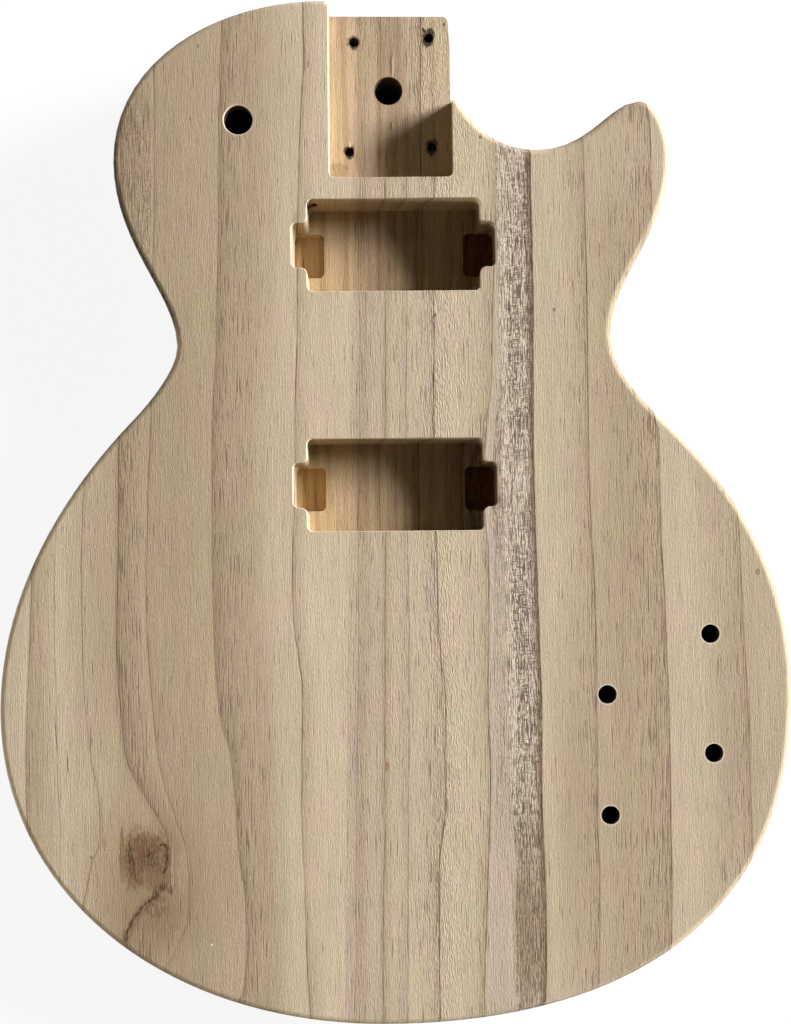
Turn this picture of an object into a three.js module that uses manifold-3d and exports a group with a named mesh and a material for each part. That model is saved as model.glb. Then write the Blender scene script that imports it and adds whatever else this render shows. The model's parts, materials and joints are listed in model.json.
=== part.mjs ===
// Bare solid guitar body: three boards glued edge to edge, then shaped and routed as one blank.
// X runs across the body, Y towards the neck and Z out of the front. The origin lies under the middle
// of the flat back. All sizes are in millimetres.

import * as THREE from 'three';
import { mergeVertices } from 'three/addons/utils/BufferGeometryUtils.js';
import Module from 'manifold-3d';

const wasm = await Module();
wasm.setup();

// Blank
const bodyLength = 445;
const bodyWidth = 343.6;
const bodyThickness = 42;
const edgeRadius = 3;
const centreLineX = 0.7;

// Seams between the boards: the left one by its distance from the centre line at the neck end and at the
// other end, the right one by how far it passes outside the pickups' leg slots. Then the glue in them
const leftSeamTopDistance = 16.1;
const leftSeamBottomDistance = 23.7;
const neckLegSeamClearance = 0.54;
const bridgeLegSeamClearance = 2.12;
const glueThickness = 0.16;
const glueClearance = 0.07;

// Neck pocket, and the heel under it: its side narrows towards the end, its end lies lower than the
// shoulder beside it and slants, and the thin tip of the cutaway beside the pocket is cut back
const neckPocketWidth = 53.9;
const neckPocketLength = 77.8;
const neckPocketDepth = 16;
const neckPocketRadius = 2.6;
const neckPocketOffset = -0.82;
const shoulderDrop = 0.5;
const shoulderCornerReach = 2;
const heelStepReach = 1.4;
const heelSideInset = 0.55;
const heelTaper = 1;
const heelTaperLength = 16;
const heelEndDrop = 2.1;
const heelEndRise = 0.5;
const heelCornerRadius = 2.6;
const heelFreeLength = 40.2;
const heelBlendLength = 7;
const tipCutLength = 4.2;

// Neck screw holes, in two rows drilled a little askew, and the larger hole between them
const screwHoleDiameter = 4.2;
const screwRowFromEnd = 12.3;
const screwRowPitch = 48.5;
const screwRowRise = 1.65;
const outerScrewSpan = 33.1;
const outerScrewOffset = -0.3;
const innerScrewSpan = 36.5;
const innerScrewOffset = -0.85;
const middleHoleDiameter = 12.2;
const middleHoleFromEnd = 34.8;
const middleHoleOffset = -1.7;

// Pickup pockets, with a deeper slot for the pickup's leg at each end
const neckPickupFromEnd = 107;
const neckPickupWidth = 75;
const bridgePickupFromEnd = 210.9;
const bridgePickupWidth = 76.4;
const pickupPocketLength = 40;
const pickupPocketDepth = 19.5;
const pickupPocketRadius = 2.6;
const legSpan = 88.6;
const legSlotWidth = 13.4;
const legSlotLength = 19.5;
const legSlotDepth = 25;

// Control and switch holes, and the cavities behind them
const potHoleDiameter = 8.1;
const switchHoleDiameter = 12.6;
const frontSkin = 6;
const controlCavityMarginX = 14.5;
const controlCavityMarginY = 17;
const controlCavityRadius = 10;
const switchCavityDiameter = 40;
const coverLedgeWidth = 5;
const coverLedgeDepth = 2.5;
const jackHoleDiameter = 22;

// Wiring channels
const switchChannelDiameter = 6;
const switchChannelDepth = 9.5;
const pickupChannelDiameter = 4.5;
const pickupChannelRise = 0.2;
const controlChannelDiameter = 8;
const controlChannelDepth = 14;
const channelReach = 4;

// How finely round shapes are drawn, and how far cutters run past what they cut
const outlineStep = 7;
const outlineTurn = THREE.MathUtils.degToRad( 6 );
const edgeSteps = 4;
const cornerSteps = 6;
const bendSteps = 3;
const holeSides = 32;
const cavitySides = 48;
const overrun = 5;

// Places along the outline, as shares of half the width and half the length
const outlineShares = [
	[ [ - 0.437, 1 ], [ - 0.703, 0.885 ], [ - 0.703, 0.688 ] ],
	[ [ - 0.703, 0.526 ], [ - 0.545, 0.427 ], [ - 0.545, 0.326 ] ],
	[ [ - 0.545, 0.281 ], [ - 0.621, 0.212 ], [ - 0.658, 0.183 ] ],
	[ [ - 0.853, 0.03 ], [ - 1, - 0.171 ], [ - 1, - 0.387 ] ],
	[ [ - 1, - 0.737 ], [ - 0.594, - 1 ], [ - 0.026, - 1 ] ],
	[ [ 0.591, - 1 ], [ 1, - 0.796 ], [ 1, - 0.355 ] ],
	[ [ 1, - 0.137 ], [ 0.873, 0.037 ], [ 0.682, 0.175 ] ],
	[ [ 0.627, 0.214 ], [ 0.551, 0.274 ], [ 0.551, 0.342 ] ],
	[ [ 0.551, 0.454 ], [ 0.702, 0.544 ], [ 0.702, 0.683 ] ],
	[ [ 0.702, 0.739 ], [ 0.669, 0.797 ], [ 0.626, 0.797 ] ],
	[ [ 0.553, 0.797 ], [ 0.501, 0.704 ], [ 0.37, 0.704 ] ],
];
const cutawayHandleShares = [ [ 0.285, 0.704 ], [ 0.207, 0.738 ] ];
const blendHandleShares = [ 0.06, 0.4 ];
const potShares = [ [ 0.7945, - 0.243 ], [ 0.534, - 0.3595 ], [ 0.8015, - 0.475 ], [ 0.5395, - 0.5945 ] ];
const switchShares = [ - 0.385, 0.764 ];

// Corners of the control cavity, as shares of the box round the control holes and their margins
const controlCavityShares = [ [ 0, 0 ], [ 0.62, 0 ], [ 1, 0.25 ], [ 1, 1 ], [ 0.45, 1 ], [ 0, 0.78 ] ];

// Sizes that follow from those above
const halfLength = bodyLength / 2;
const halfWidth = bodyWidth / 2;
const neckPocketX = centreLineX + neckPocketOffset;
const neckPocketLeft = neckPocketX - neckPocketWidth / 2;
const neckPocketRight = neckPocketX + neckPocketWidth / 2;
const neckPocketBottom = halfLength - neckPocketLength;
const neckPocketFloor = bodyThickness - neckPocketDepth;
const heelSide = neckPocketRight - heelSideInset;
const glueGap = glueThickness + 2 * glueClearance;
const pickups = [
	{ y: halfLength - neckPickupFromEnd, width: neckPickupWidth },
	{ y: halfLength - bridgePickupFromEnd, width: bridgePickupWidth },
];
const legX = ( legSpan - legSlotWidth ) / 2;
const legEdge = centreLineX + legSpan / 2;
const outerScrewY = halfLength - screwRowFromEnd;
const innerScrewY = outerScrewY - screwRowPitch;
const switchPlace = placeOf( switchShares );
const potPlaces = potShares.map( placeOf );
const cavityTop = bodyThickness - frontSkin;

// A place on the body from its shares of half the width and half the length
function placeOf( [ x, y ] ) {

	return new THREE.Vector2( x * halfWidth, y * halfLength );

}

// Points along a curve, closer together where it turns
function pointsAlong( curve ) {

	const turn = curve.getTangent( 0 ).angleTo( curve.getTangent( 1 ) );
	return curve.getSpacedPoints( Math.ceil( Math.max( curve.getLength() / outlineStep, turn / outlineTurn ) ) );

}

// Points round a corner, from the side that comes from the previous corner to the one that goes to the next
function roundedCorner( previous, corner, next, radius ) {

	const before = previous.clone().sub( corner );
	const after = next.clone().sub( corner );
	const half = before.angleTo( after ) / 2;
	const back = Math.min( radius / Math.tan( half ), before.length() / 2, after.length() / 2 );
	const start = corner.clone().addScaledVector( before.normalize(), back );
	const end = corner.clone().addScaledVector( after.normalize(), back );
	const centre = corner.clone().addScaledVector( before.add( after ).normalize(), back / Math.cos( half ) );
	const sweep = start.clone().sub( centre ).angleTo( end.clone().sub( centre ) );
	const side = Math.sign( start.clone().sub( centre ).cross( end.clone().sub( centre ) ) );
	const points = [];
	for ( let step = 0; step <= cornerSteps; step ++ ) {

		points.push( start.clone().rotateAround( centre, side * sweep * step / cornerSteps ) );

	}

	return points;

}

// A closed shape whose corners are rounded, on the inside of a turn as well as on the outside
function roundedShape( corners, radius ) {

	return new THREE.Shape( corners.flatMap( ( corner, i ) => (
		roundedCorner( corners.at( i - 1 ), corner, corners[ ( i + 1 ) % corners.length ], radius )
	) ) );

}

function rectangle( x, y, width, length ) {

	const [ right, top ] = [ width / 2, length / 2 ];
	return [ [ - right, - top ], [ right, - top ], [ right, top ], [ - right, top ] ]
		.map( ( [ dx, dy ] ) => new THREE.Vector2( x + dx, y + dy ) );

}

// The same corners with every side moved outwards by a distance
function widened( corners, distance ) {

	return corners.map( ( corner, i ) => {

		const along = corner.clone().sub( corners.at( i - 1 ) ).normalize();
		const onward = corners[ ( i + 1 ) % corners.length ].clone().sub( corner ).normalize();
		const outward = new THREE.Vector2( along.y + onward.y, - along.x - onward.x ).normalize();
		const reach = distance / Math.cos( along.angleTo( onward ) / 2 );
		return corner.clone().addScaledVector( outward, reach );

	} );

}

// A solid from a closed geometry
function solidOf( geometry ) {

	geometry.deleteAttribute( 'normal' );
	geometry.deleteAttribute( 'uv' );
	const merged = mergeVertices( geometry );
	return new wasm.Manifold( new wasm.Mesh( {
		numProp: 3,
		vertProperties: merged.attributes.position.array,
		triVerts: merged.index.array,
	} ) );

}

function geometryOf( solid ) {

	const mesh = solid.getMesh();
	const geometry = new THREE.BufferGeometry();
	geometry.setAttribute( 'position', new THREE.BufferAttribute( mesh.vertProperties, 3 ) );
	geometry.setIndex( new THREE.BufferAttribute( mesh.triVerts, 1 ) );
	geometry.computeVertexNormals();
	return geometry;

}

// A straight-sided solid from one height to another
function prism( shape, low, high ) {

	const geometry = new THREE.ExtrudeGeometry( shape, { depth: high - low, bevelEnabled: false } );
	return solidOf( geometry.translate( 0, 0, low ) );

}

// A round cutter between two points
function drill( from, to, diameter, sides = holeSides ) {

	const along = to.clone().sub( from );
	const geometry = new THREE.CylinderGeometry( diameter / 2, diameter / 2, along.length(), sides );
	const turn = new THREE.Quaternion().setFromUnitVectors( new THREE.Vector3( 0, 1, 0 ), along.clone().normalize() );
	const middle = from.clone().add( to ).multiplyScalar( 0.5 );
	return solidOf( geometry.applyQuaternion( turn ).translate( middle.x, middle.y, middle.z ) );

}

// A round hole square to the front, from one height to another
function hole( place, diameter, low, high, sides ) {

	return drill(
		new THREE.Vector3( place.x, place.y, low ),
		new THREE.Vector3( place.x, place.y, high ),
		diameter, sides,
	);

}

function union( solids ) {

	return solids.reduce( ( whole, solid ) => whole.add( solid ) );

}

// The outline from the shoulder round the lower bout to the heel, with the heel's corner sharp or rounded
function bodyOutline( cornerRadius ) {

	const start = new THREE.Vector2( neckPocketLeft - shoulderCornerReach, halfLength - shoulderDrop );
	const points = [ start ];
	let last = start;
	const follow = ( ...handles ) => {

		points.push( ...pointsAlong( new THREE.CubicBezierCurve( last, ...handles ) ).slice( 1 ) );
		last = handles.at( - 1 );

	};

	outlineShares.forEach( ( shares ) => follow( ...shares.map( placeOf ) ) );
	const tip = new THREE.Vector2( neckPocketRight, halfLength - heelFreeLength );
	const [ cutawayStart, cutawayEnd ] = cutawayHandleShares.map( placeOf );
	follow( cutawayStart, cutawayEnd, tip );
	const blendEnd = new THREE.Vector2( heelSide, tip.y + heelBlendLength );
	const [ startShare, endShare ] = blendHandleShares;
	follow(
		tip.clone().lerp( cutawayEnd, - startShare ),
		new THREE.Vector2( heelSide, blendEnd.y - heelBlendLength * endShare ),
		blendEnd,
	);
	const taperStart = new THREE.Vector2( heelSide, halfLength - heelTaperLength );
	const corner = new THREE.Vector2( heelSide - heelTaper, halfLength - heelEndDrop );
	const stepEnd = new THREE.Vector2( neckPocketLeft + heelStepReach, corner.y + heelEndRise );
	points.push( taperStart );
	points.push( ...( cornerRadius === 0 ? [ corner ] : roundedCorner( taperStart, corner, stepEnd, cornerRadius ) ) );

	// From the heel's end up to the shoulder: one bend in, then one out. The middle between them lies in
	// line with its neighbours, so it is left out
	const middle = stepEnd.clone().lerp( start, 0.5 );
	const bendIn = new THREE.Vector2( ( stepEnd.x + middle.x ) / 2, stepEnd.y );
	const bendOut = new THREE.Vector2( ( start.x + middle.x ) / 2, start.y );
	points.push( ...new THREE.QuadraticBezierCurve( stepEnd, bendIn, middle ).getPoints( bendSteps ).slice( 0, - 1 ) );
	points.push( ...new THREE.QuadraticBezierCurve( middle, bendOut, start ).getPoints( bendSteps ).slice( 1, - 1 ) );
	return new THREE.Shape( points );

}

// The shaped blank: rounded over along the front and back edges, and upright at the heel's corner
function blank() {

	const rounded = new THREE.ExtrudeGeometry( bodyOutline( 0 ), {
		depth: bodyThickness - 2 * edgeRadius,
		bevelThickness: edgeRadius,
		bevelSize: edgeRadius,
		bevelOffset: - edgeRadius,
		bevelSegments: edgeSteps,
	} ).translate( 0, 0, edgeRadius );
	const upright = prism( bodyOutline( heelCornerRadius ), - overrun, bodyThickness + overrun );
	return solidOf( rounded ).intersect( upright );

}

function neckPocket() {

	const length = neckPocketLength + overrun + neckPocketRadius;
	const corners = rectangle( neckPocketX, neckPocketBottom + length / 2, neckPocketWidth, length );
	return prism( roundedShape( corners, neckPocketRadius ), neckPocketFloor, bodyThickness + overrun );

}

// Takes the thin tip beside the neck pocket away at a slant, more of it at the front than at the floor
function tipCutter() {

	const tipY = halfLength - heelFreeLength;
	const side = new THREE.Shape( [
		new THREE.Vector2( tipY, neckPocketFloor ),
		new THREE.Vector2( halfLength + overrun, neckPocketFloor ),
		new THREE.Vector2( halfLength + overrun, bodyThickness ),
		new THREE.Vector2( tipY - tipCutLength, bodyThickness ),
	] );
	const geometry = new THREE.ExtrudeGeometry( side, { depth: 2 * overrun, bevelEnabled: false } );
	const upright = new THREE.Matrix4().makeBasis(
		new THREE.Vector3( 0, 1, 0 ), new THREE.Vector3( 0, 0, 1 ), new THREE.Vector3( 1, 0, 0 ),
	);
	return solidOf( geometry.applyMatrix4( upright ).translate( neckPocketRight - overrun, 0, 0 ) );

}

function neckHoles() {

	const low = - overrun;
	const high = neckPocketFloor + overrun;
	const rows = [
		{ y: outerScrewY, span: outerScrewSpan, offset: outerScrewOffset },
		{ y: innerScrewY, span: innerScrewSpan, offset: innerScrewOffset },
	];
	const screwHoles = rows.flatMap( ( row ) => [ - 0.5, 0.5 ].map( ( side ) => hole(
		new THREE.Vector2( centreLineX + row.offset + side * row.span, row.y + side * screwRowRise ),
		screwHoleDiameter, low, high,
	) ) );
	const middle = new THREE.Vector2( centreLineX + middleHoleOffset, halfLength - middleHoleFromEnd );
	return union( [ ...screwHoles, hole( middle, middleHoleDiameter, low, high ) ] );

}

// One pickup's pocket: a rounded cross shape down to the floor, and a deeper slot at each end
function pickupPocket( { y, width } ) {

	const [ x, ear, end ] = [ width / 2, legSpan / 2, legSlotLength / 2 ];
	const top = pickupPocketLength / 2;
	const quarter = [ [ x, top ], [ x, end ], [ ear, end ] ];
	const corners = [
		...quarter.map( ( [ dx, dy ] ) => [ - dx, dy ] ),
		...quarter.map( ( [ dx, dy ] ) => [ - dx, - dy ] ).reverse(),
		...quarter.map( ( [ dx, dy ] ) => [ dx, - dy ] ),
		...quarter.reverse(),
	].map( ( [ dx, dy ] ) => new THREE.Vector2( centreLineX + dx, y + dy ) );
	const high = bodyThickness + overrun;
	const pocket = prism( roundedShape( corners, pickupPocketRadius ), bodyThickness - pickupPocketDepth, high );
	const slots = [ - legX, legX ].map( ( dx ) => prism(
		roundedShape( rectangle( centreLineX + dx, y, legSlotWidth, legSlotLength ), pickupPocketRadius ),
		bodyThickness - legSlotDepth, high,
	) );
	return union( [ pocket, ...slots ] );

}

// Corners of the control cavity, counter-clockwise
function controlCorners() {

	const box = new THREE.Box2().setFromPoints( potPlaces );
	box.expandByVector( new THREE.Vector2( controlCavityMarginX, controlCavityMarginY ) );
	const size = box.getSize( new THREE.Vector2() );
	return controlCavityShares.map( ( [ x, y ] ) => new THREE.Vector2( x, y ).multiply( size ).add( box.min ) );

}

// The cavity behind the control holes, its ledge for a cover, the control holes and the jack hole
function controls() {

	const corners = controlCorners();
	const cavity = prism( roundedShape( corners, controlCavityRadius ), - overrun, cavityTop );
	const ledgeCorners = widened( corners, coverLedgeWidth );
	const ledge = prism(
		roundedShape( ledgeCorners, controlCavityRadius + coverLedgeWidth ), - overrun, coverLedgeDepth,
	);
	const holes = potPlaces.map( ( place ) => (
		hole( place, potHoleDiameter, cavityTop - overrun, bodyThickness + overrun )
	) );
	const [ , chamferStart, chamferEnd ] = corners;
	const jackStart = chamferStart.clone().lerp( chamferEnd, 0.5 );
	const chamfer = chamferEnd.clone().sub( chamferStart ).normalize();
	const outward = new THREE.Vector2( chamfer.y, - chamfer.x );
	const inside = jackStart.clone().addScaledVector( outward, - jackHoleDiameter / 2 );
	const outside = jackStart.clone().addScaledVector( outward, halfWidth / 2 );
	const middleHeight = bodyThickness / 2;
	const jack = drill(
		new THREE.Vector3( inside.x, inside.y, middleHeight ),
		new THREE.Vector3( outside.x, outside.y, middleHeight ),
		jackHoleDiameter,
	);
	return union( [ cavity, ledge, jack, ...holes ] );

}

// The round cavity behind the switch hole, its ledge and the hole
function switchOpening() {

	const ledgeDiameter = switchCavityDiameter + 2 * coverLedgeWidth;
	return union( [
		hole( switchPlace, switchCavityDiameter, - overrun, cavityTop, cavitySides ),
		hole( switchPlace, ledgeDiameter, - overrun, coverLedgeDepth, cavitySides ),
		hole( switchPlace, switchHoleDiameter, cavityTop - overrun, bodyThickness + overrun ),
	] );

}

// Channels from the switch to the neck pickup, on to the bridge pickup, and from there to the controls
function wiringChannels() {

	const [ neck, bridge ] = pickups;
	const switchHeight = bodyThickness - switchChannelDepth;
	const pocketCorner = new THREE.Vector3(
		centreLineX - neck.width / 2 + channelReach, neck.y + pickupPocketLength / 2 - channelReach, switchHeight,
	);
	const toNeck = drill(
		new THREE.Vector3( switchPlace.x, switchPlace.y, switchHeight ), pocketCorner, switchChannelDiameter,
	);

	const slotX = centreLineX + legX;
	const slotHeight = bodyThickness - legSlotDepth + pickupChannelDiameter / 2 + pickupChannelRise;
	const toBridge = drill(
		new THREE.Vector3( slotX, neck.y, slotHeight ),
		new THREE.Vector3( slotX, bridge.y, slotHeight ),
		pickupChannelDiameter,
	);

	const controlHeight = bodyThickness - controlChannelDepth;
	const cavityCorner = controlCorners().at( - 1 );
	const reach = 2 * channelReach;
	const toControls = drill(
		new THREE.Vector3(
			centreLineX + bridge.width / 2 - reach, bridge.y - pickupPocketLength / 2 + channelReach, controlHeight,
		),
		new THREE.Vector3( cavityCorner.x + reach, cavityCorner.y - reach, controlHeight ),
		controlChannelDiameter,
	);
	return union( [ toNeck, toBridge, toControls ] );

}

// The blank with every pocket, hole and channel cut, before it is parted into its boards
function routedBody() {

	return blank().subtract( union( [
		neckPocket(),
		tipCutter(),
		neckHoles(),
		...pickups.map( pickupPocket ),
		controls(),
		switchOpening(),
		wiringChannels(),
	] ) );

}

// The stretch of the body between two seams, each given by its X at the neck end and at the other end
function stretch( body, left, right, bottom = - halfLength, top = halfLength ) {

	const at = ( seam, y ) => THREE.MathUtils.mapLinear( y, - halfLength, halfLength, seam.bottom, seam.top );
	const shape = new THREE.Shape( [
		new THREE.Vector2( at( left, bottom ), bottom ),
		new THREE.Vector2( at( right, bottom ), bottom ),
		new THREE.Vector2( at( right, top ), top ),
		new THREE.Vector2( at( left, top ), top ),
	] );
	return body.intersect( prism( shape, - overrun, bodyThickness + overrun ) );

}

// The seam past the right-hand leg slots
function rightSeamPath() {

	const [ neck, bridge ] = pickups;
	const at = ( y ) => THREE.MathUtils.mapLinear(
		y, neck.y, bridge.y, legEdge + neckLegSeamClearance, legEdge + bridgeLegSeamClearance,
	);
	return { top: at( halfLength ), bottom: at( - halfLength ) };

}

function moved( seam, distance ) {

	return { top: seam.top + distance, bottom: seam.bottom + distance };

}

function addPiece( group, name, solid, material ) {

	const mesh = new THREE.Mesh( geometryOf( solid ), material );
	mesh.name = name;
	group.add( mesh );

}

function wood( color ) {

	return new THREE.MeshStandardMaterial( { color, roughness: 0.75, metalness: 0 } );

}

// The body as its boards and the glue films between them
function guitarBody() {

	const group = new THREE.Group();
	const body = routedBody();
	const [ leftEdge, rightEdge ] = [ - halfWidth - overrun, halfWidth + overrun ]
		.map( ( x ) => ( { top: x, bottom: x } ) );
	const leftSeam = { top: centreLineX - leftSeamTopDistance, bottom: centreLineX - leftSeamBottomDistance };
	const rightSeam = rightSeamPath();
	const gap = glueGap / 2;
	const outer = halfLength + overrun;
	const board = ( left, right ) => stretch( body, left, right, - outer, outer );
	addPiece( group, 'left_board', board( leftEdge, moved( leftSeam, - gap ) ), wood( 0xc4b597 ) );
	addPiece( group, 'centre_board', board( moved( leftSeam, gap ), moved( rightSeam, - gap ) ), wood( 0xbfb095 ) );
	addPiece( group, 'right_board', board( moved( rightSeam, gap ), rightEdge ), wood( 0xbcab8d ) );

	const glue = new THREE.MeshStandardMaterial( { color: 0xa08a63, roughness: 0.5, metalness: 0 } );
	const film = ( seam, bottom, top ) => stretch(
		body, moved( seam, - glueThickness / 2 ), moved( seam, glueThickness / 2 ), bottom, top,
	);

	// The screw holes pass through the left seam, so its film is parted in the middle of each
	const lowerHoleY = innerScrewY - screwRowRise / 2;
	const upperHoleY = outerScrewY - screwRowRise / 2;
	addPiece( group, 'glue_line_left', film( leftSeam, - outer, lowerHoleY - glueClearance ), glue );
	addPiece(
		group, 'glue_line_left_heel', film( leftSeam, lowerHoleY + glueClearance, upperHoleY - glueClearance ), glue,
	);
	addPiece( group, 'glue_line_left_end', film( leftSeam, upperHoleY + glueClearance, outer ), glue );
	addPiece( group, 'glue_line_right', film( rightSeam, - outer, outer ), glue );
	return group;

}

export default guitarBody();
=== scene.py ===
"""Looks of a bare solid guitar body: three boards of pale, open-pored wood, glued edge to edge and routed.

Lengths are in millimetres, and places are X across the body, Y towards the neck and Z out of the front,
unless a name ends in _m or _M. Blender's own objects are in metres, in the same frame.
"""

import json
import math
from collections import namedtuple

import bmesh
import bpy
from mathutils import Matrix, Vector
from mathutils.bvhtree import BVHTree


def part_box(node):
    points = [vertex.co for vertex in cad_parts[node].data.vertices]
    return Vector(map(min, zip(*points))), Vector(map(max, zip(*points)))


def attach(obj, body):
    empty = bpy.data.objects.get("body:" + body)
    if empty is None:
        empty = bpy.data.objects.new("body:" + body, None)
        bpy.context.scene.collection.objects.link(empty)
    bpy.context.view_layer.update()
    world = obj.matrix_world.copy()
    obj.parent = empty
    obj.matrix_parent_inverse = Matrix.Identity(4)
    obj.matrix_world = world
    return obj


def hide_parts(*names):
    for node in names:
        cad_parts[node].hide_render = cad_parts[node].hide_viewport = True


MM = 0.001
BOARD_NODES = ("left_board", "centre_board", "right_board")

# The photograph's frame, and where it was taken from
PHOTO_HEIGHT_PX = 1024
FRONT_MM_PER_PX = 0.4327
SENSOR = 36.0
CAMERA_ABOVE_FRONT = 642.0
CAMERA_OVER_Y = -52.2
CAMERA_TURN = -0.0082
CAMERA_SEES_M = 20.0
PICTURE_MIDDLE_X = 0.2
PICTURE_MIDDLE_Y = -0.3

# Light: a wide, low window far off on the right, a very low reflector on the left that only reaches the
# edges, and a weak, warm fill that comes mostly from the sides and ends at a height given as the
# direction's Z
LAMP_DISTANCE_M = 20.0
LAMP_WIDTH_M = 8.0
WINDOW_ELEVATION = math.radians(21.5)
WINDOW_BEARING = math.radians(17)
WINDOW_HEIGHT_M = 4.0
WINDOW_STRENGTH = 7.75
WINDOW_COLOUR = (1.01, 1.0, 1.07)
REFLECTOR_ELEVATION = math.radians(4)
REFLECTOR_BEARING = math.radians(205)
REFLECTOR_HEIGHT_M = 1.2
REFLECTOR_STRENGTH = 1.7
REFLECTOR_COLOUR = (1.0, 0.95, 0.86)
FILL_AT_HORIZON = 0.37
FILL_OVERHEAD = 0.0
FILL_ENDS_AT = 0.8
FILL_COLOUR = (1, 0.93, 0.78, 1)
WHITE = (1, 1, 1, 1)

# The floor, and the dark patches of painted shade on it, which reach some way past the holes that go through
# the body
FLOOR_SIZE = 8000.0
FLOOR_DROP = 0.3
FLOOR_COLOUR = (0.8, 0.8, 0.8, 1)
FLOOR_SHOWN_GLOW = 0.9
FLOOR_SHOWN_COLOUR = (0.13, 0.13, 0.13, 1)
SHADE_PATCH_DROP = 0.15
SHADE_PATCH_COLOUR = (0.03, 0.02, 0.015, 1)
SHADE_PATCH_REACHES = (
    ("middle_hole", 12.0),
    ("switch_cavity", 9.0),
    ("control_cavity_middle", 5.0),
    ("control_cavity_lower", 5.0),
    ("control_cavity_upper", 5.0),
)

# Meshes taken over from the frame: what is merged, how near to the glue a side counts as glued, how far a
# glued side stays off the film, and the sizes of the softened rims
MERGE_DISTANCE = 0.002
FLAT_ANGLE = math.radians(0.3)
SMOOTH_ANGLE = math.radians(32)
SEAM_REACH = 0.3
SEAM_GAP = 0.1
SEAM_LEFT_SHARE = 0.1
NECK_REACH = 3.0
NECK_RIM = 1.1
HEEL_SIDE_RIM = 1.4
HEEL_END_RIM = 0.4
BODY_RIM = 0.45
RIM_SEGMENTS = 3

# Parts of a face's direction from which it counts as a flat or as facing right, and up to which as upright
FLAT_Z = 0.999
RIGHT_X = 0.7
UPRIGHT_Z = 0.1

# Wood colours, as sRGB values up to 255
PALE = (206, 189, 160)
CREAM = (200, 184, 155)
BEIGE = (190, 173, 144)
GREIGE = (194, 177, 152)
SAND = (182, 163, 134)
TAN = (175, 156, 128)
BROWN = (163, 143, 116)
UMBER = (146, 124, 98)
LILAC = (225, 210, 187)
LILAC_DARK = (196, 179, 160)
ROSE = (198, 180, 159)
OLIVE_BROWN = (172, 152, 122)
LINE = (98, 75, 52)
PORE = (96, 76, 60)
COARSE_PORE = (88, 68, 50)
BAND_BROWN = (150, 129, 97)
KNOT_WOOD = (163, 141, 107)
KNOT_SHADE = (152, 131, 99)
KNOT_RED = (112, 82, 56)
KNOT_BROWN = (130, 105, 78)
KNOT_OLIVE = (128, 104, 68)
KNOT_UMBER = (98, 72, 50)
KNOT_GREY = (138, 117, 90)
KNOT_GREEN = (184, 168, 134)
KNOT_DARK = (64, 43, 27)
# Painted shade in holes and in the torn mouths of screw holes
HOLE_SHADE = (30, 15, 9)
# Burn marks and painted shade on the left edge
SCORCH_AND_SHADE = (48, 35, 23)
# Pale torn fibres, and painted highlights beside cracks
SPLINTER_AND_HIGHLIGHT = (235, 222, 196)
RED_STREAK = (138, 96, 74)
FLOOR_STRIPE = (128, 94, 60)
GLUE_LIGHT = (190, 170, 138)
GLUE_DARK = (170, 148, 114)

# Tints that lie over other colours, as sRGB values up to 255
END_TINT = (232, 226, 214)
# Painted shade on the floors of the deeper pockets
POCKET_FLOOR_SHADE = (246, 241, 230)
OLIVE_TINT = (252, 255, 247)
PINK_TINT = (255, 252, 252)

Texture = namedtuple("Texture", "across along detail offset roughness", defaults=(0.5,))
Ring = namedtuple("Ring", "nominal line places")
Zone = namedtuple("Zone", "left right bottom top share hatch")
Mark = namedtuple("Mark", "x y width length turn colour share rough reach depth", defaults=(0.4, 3.0, 0.0))
Cloud = namedtuple("Cloud", "x y width length colour share")
Loop = namedtuple("Loop", "x y radius width colour share")
Stroke = namedtuple("Stroke", "places width colour share")
Board = namedtuple("Board", "rings side lean deep tones pores ripple clouds zones marks loops strokes")
Hole = namedtuple("Hole", "x y radius depth")

# Textures: the size of the features across and along the fibres, the detail, an offset that sets one
# texture apart from the next, and the roughness
WAVER = Texture(12, 60, 1, 0)
BLOTCHES = Texture(12, 90, 1, 0)
PATCHES = Texture(4.5, 30, 2, 17)
STREAKS = Texture(1.8, 60, 1, 0)
FIBRES = Texture(0.58, 11, 2, 0)
GRAIN = Texture(0.42, 1.9, 2, 0, 0.6)
HUES = Texture(13, 34, 1, 41)
HAIRS = Texture(0.6, 15, 2, 29)
NEEDLES = Texture(0.8, 8, 0, 7)
RIPPLES = Texture(0.6, 2.6, 1, 13)
LINE_FADES = Texture(60, 38, 2, 11)
LINE_BREAKS = Texture(0.5, 9, 1, 4)
COARSE_CLOUDS = Texture(5, 26, 2, 3)
UPRIGHT_PORES = Texture(0.5, 7, 1, 5)
SHORT_PORES = Texture(0.48, 2.4, 1, 8)
LEVEL_PORES = Texture(4, 0.5, 1, 9)
LEVEL_PATCHES = Texture(5, 9, 1, 23)
RAGGED_EDGES = Texture(2.4, 3.6, 4, 0, 0.65)
MOTTLE = Texture(0.9, 2.4, 3, 31, 0.6)
SPECKLE = Texture(1.0, 2.5, 3, 21)
FLOOR_STRIPES = Texture(4.5, 120, 2, 51)
MILLING = Texture(1, 0.55, 2, 0)
GLUE_CLOUDS = Texture(1, 6, 3, 0)

# How far the fibres waver, how large needle-shaped pores get, and what ripples across the fibres do
WAVER_WIDTH = 1.5
NEEDLE_SIZE = 0.34
RIPPLE_SLANT = 0.12
RIPPLE_CONTRAST = 0.45
RIPPLE_OUTSIDE = 0.3

# How strongly each texture lightens and darkens the wood, and where the coarse pores begin and are whole
CONTRASTS = ((BLOTCHES, 0.12), (PATCHES, 0.12), (STREAKS, 0.14), (FIBRES, 0.3), (GRAIN, 0.36))
COARSE_LEVELS = ((UPRIGHT_PORES, 0.54, 0.6), (SHORT_PORES, 0.56, 0.61), (LEVEL_PORES, 0.545, 0.59))

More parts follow.
